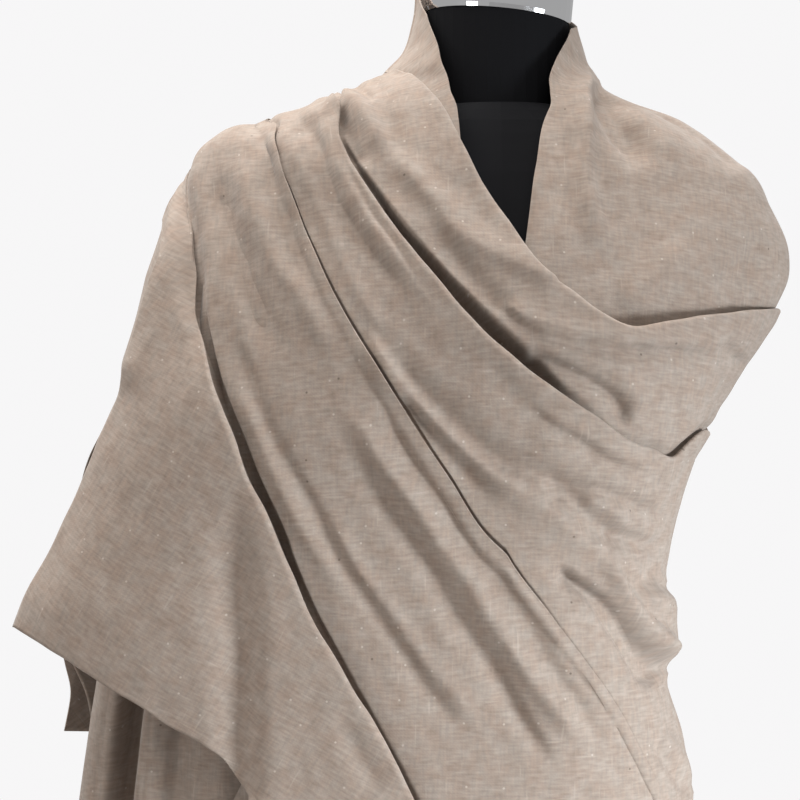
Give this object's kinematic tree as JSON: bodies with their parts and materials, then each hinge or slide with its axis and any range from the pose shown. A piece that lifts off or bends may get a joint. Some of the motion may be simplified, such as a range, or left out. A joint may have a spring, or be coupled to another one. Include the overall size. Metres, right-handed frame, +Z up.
{
  "type": "pashmina shawl on a limbless dress form",
  "caption": "Plain wool shawl wound across the chest and thrown over one shoulder, worn by a limbless dress form on a round-based stand.",
  "frame": {"origin": "middle of the underside of the stand's round base, on the floor", "axes": "+Z up; the form's front and the wrap face -Y; the thrown end hangs at the -X side"},
  "size_m": [0.6018, 0.34, 1.5182],
  "materials": {
    "shawl_cloth": "fine plain-weave wool, matt, heathered taupe",
    "form_cover": "smooth black jersey",
    "stand_chrome": "polished"
  },
  "bodies": {
    "root": {"neck_strip": "shawl_cloth", "shoulder_layer": "shawl_cloth", "back_fall": "shawl_cloth", "under_end": "shawl_cloth", "wrap_lower": "shawl_cloth", "wrap_middle": "shawl_cloth", "wrap_upper": "shawl_cloth", "throw_panel": "shawl_cloth", "throw_back": "shawl_cloth", "form_torso": "form_cover", "form_neck": "form_cover", "neck_cap": "stand_chrome", "stand_pole": "stand_chrome", "stand_base": "stand_chrome"}
  },
  "joints": []
}
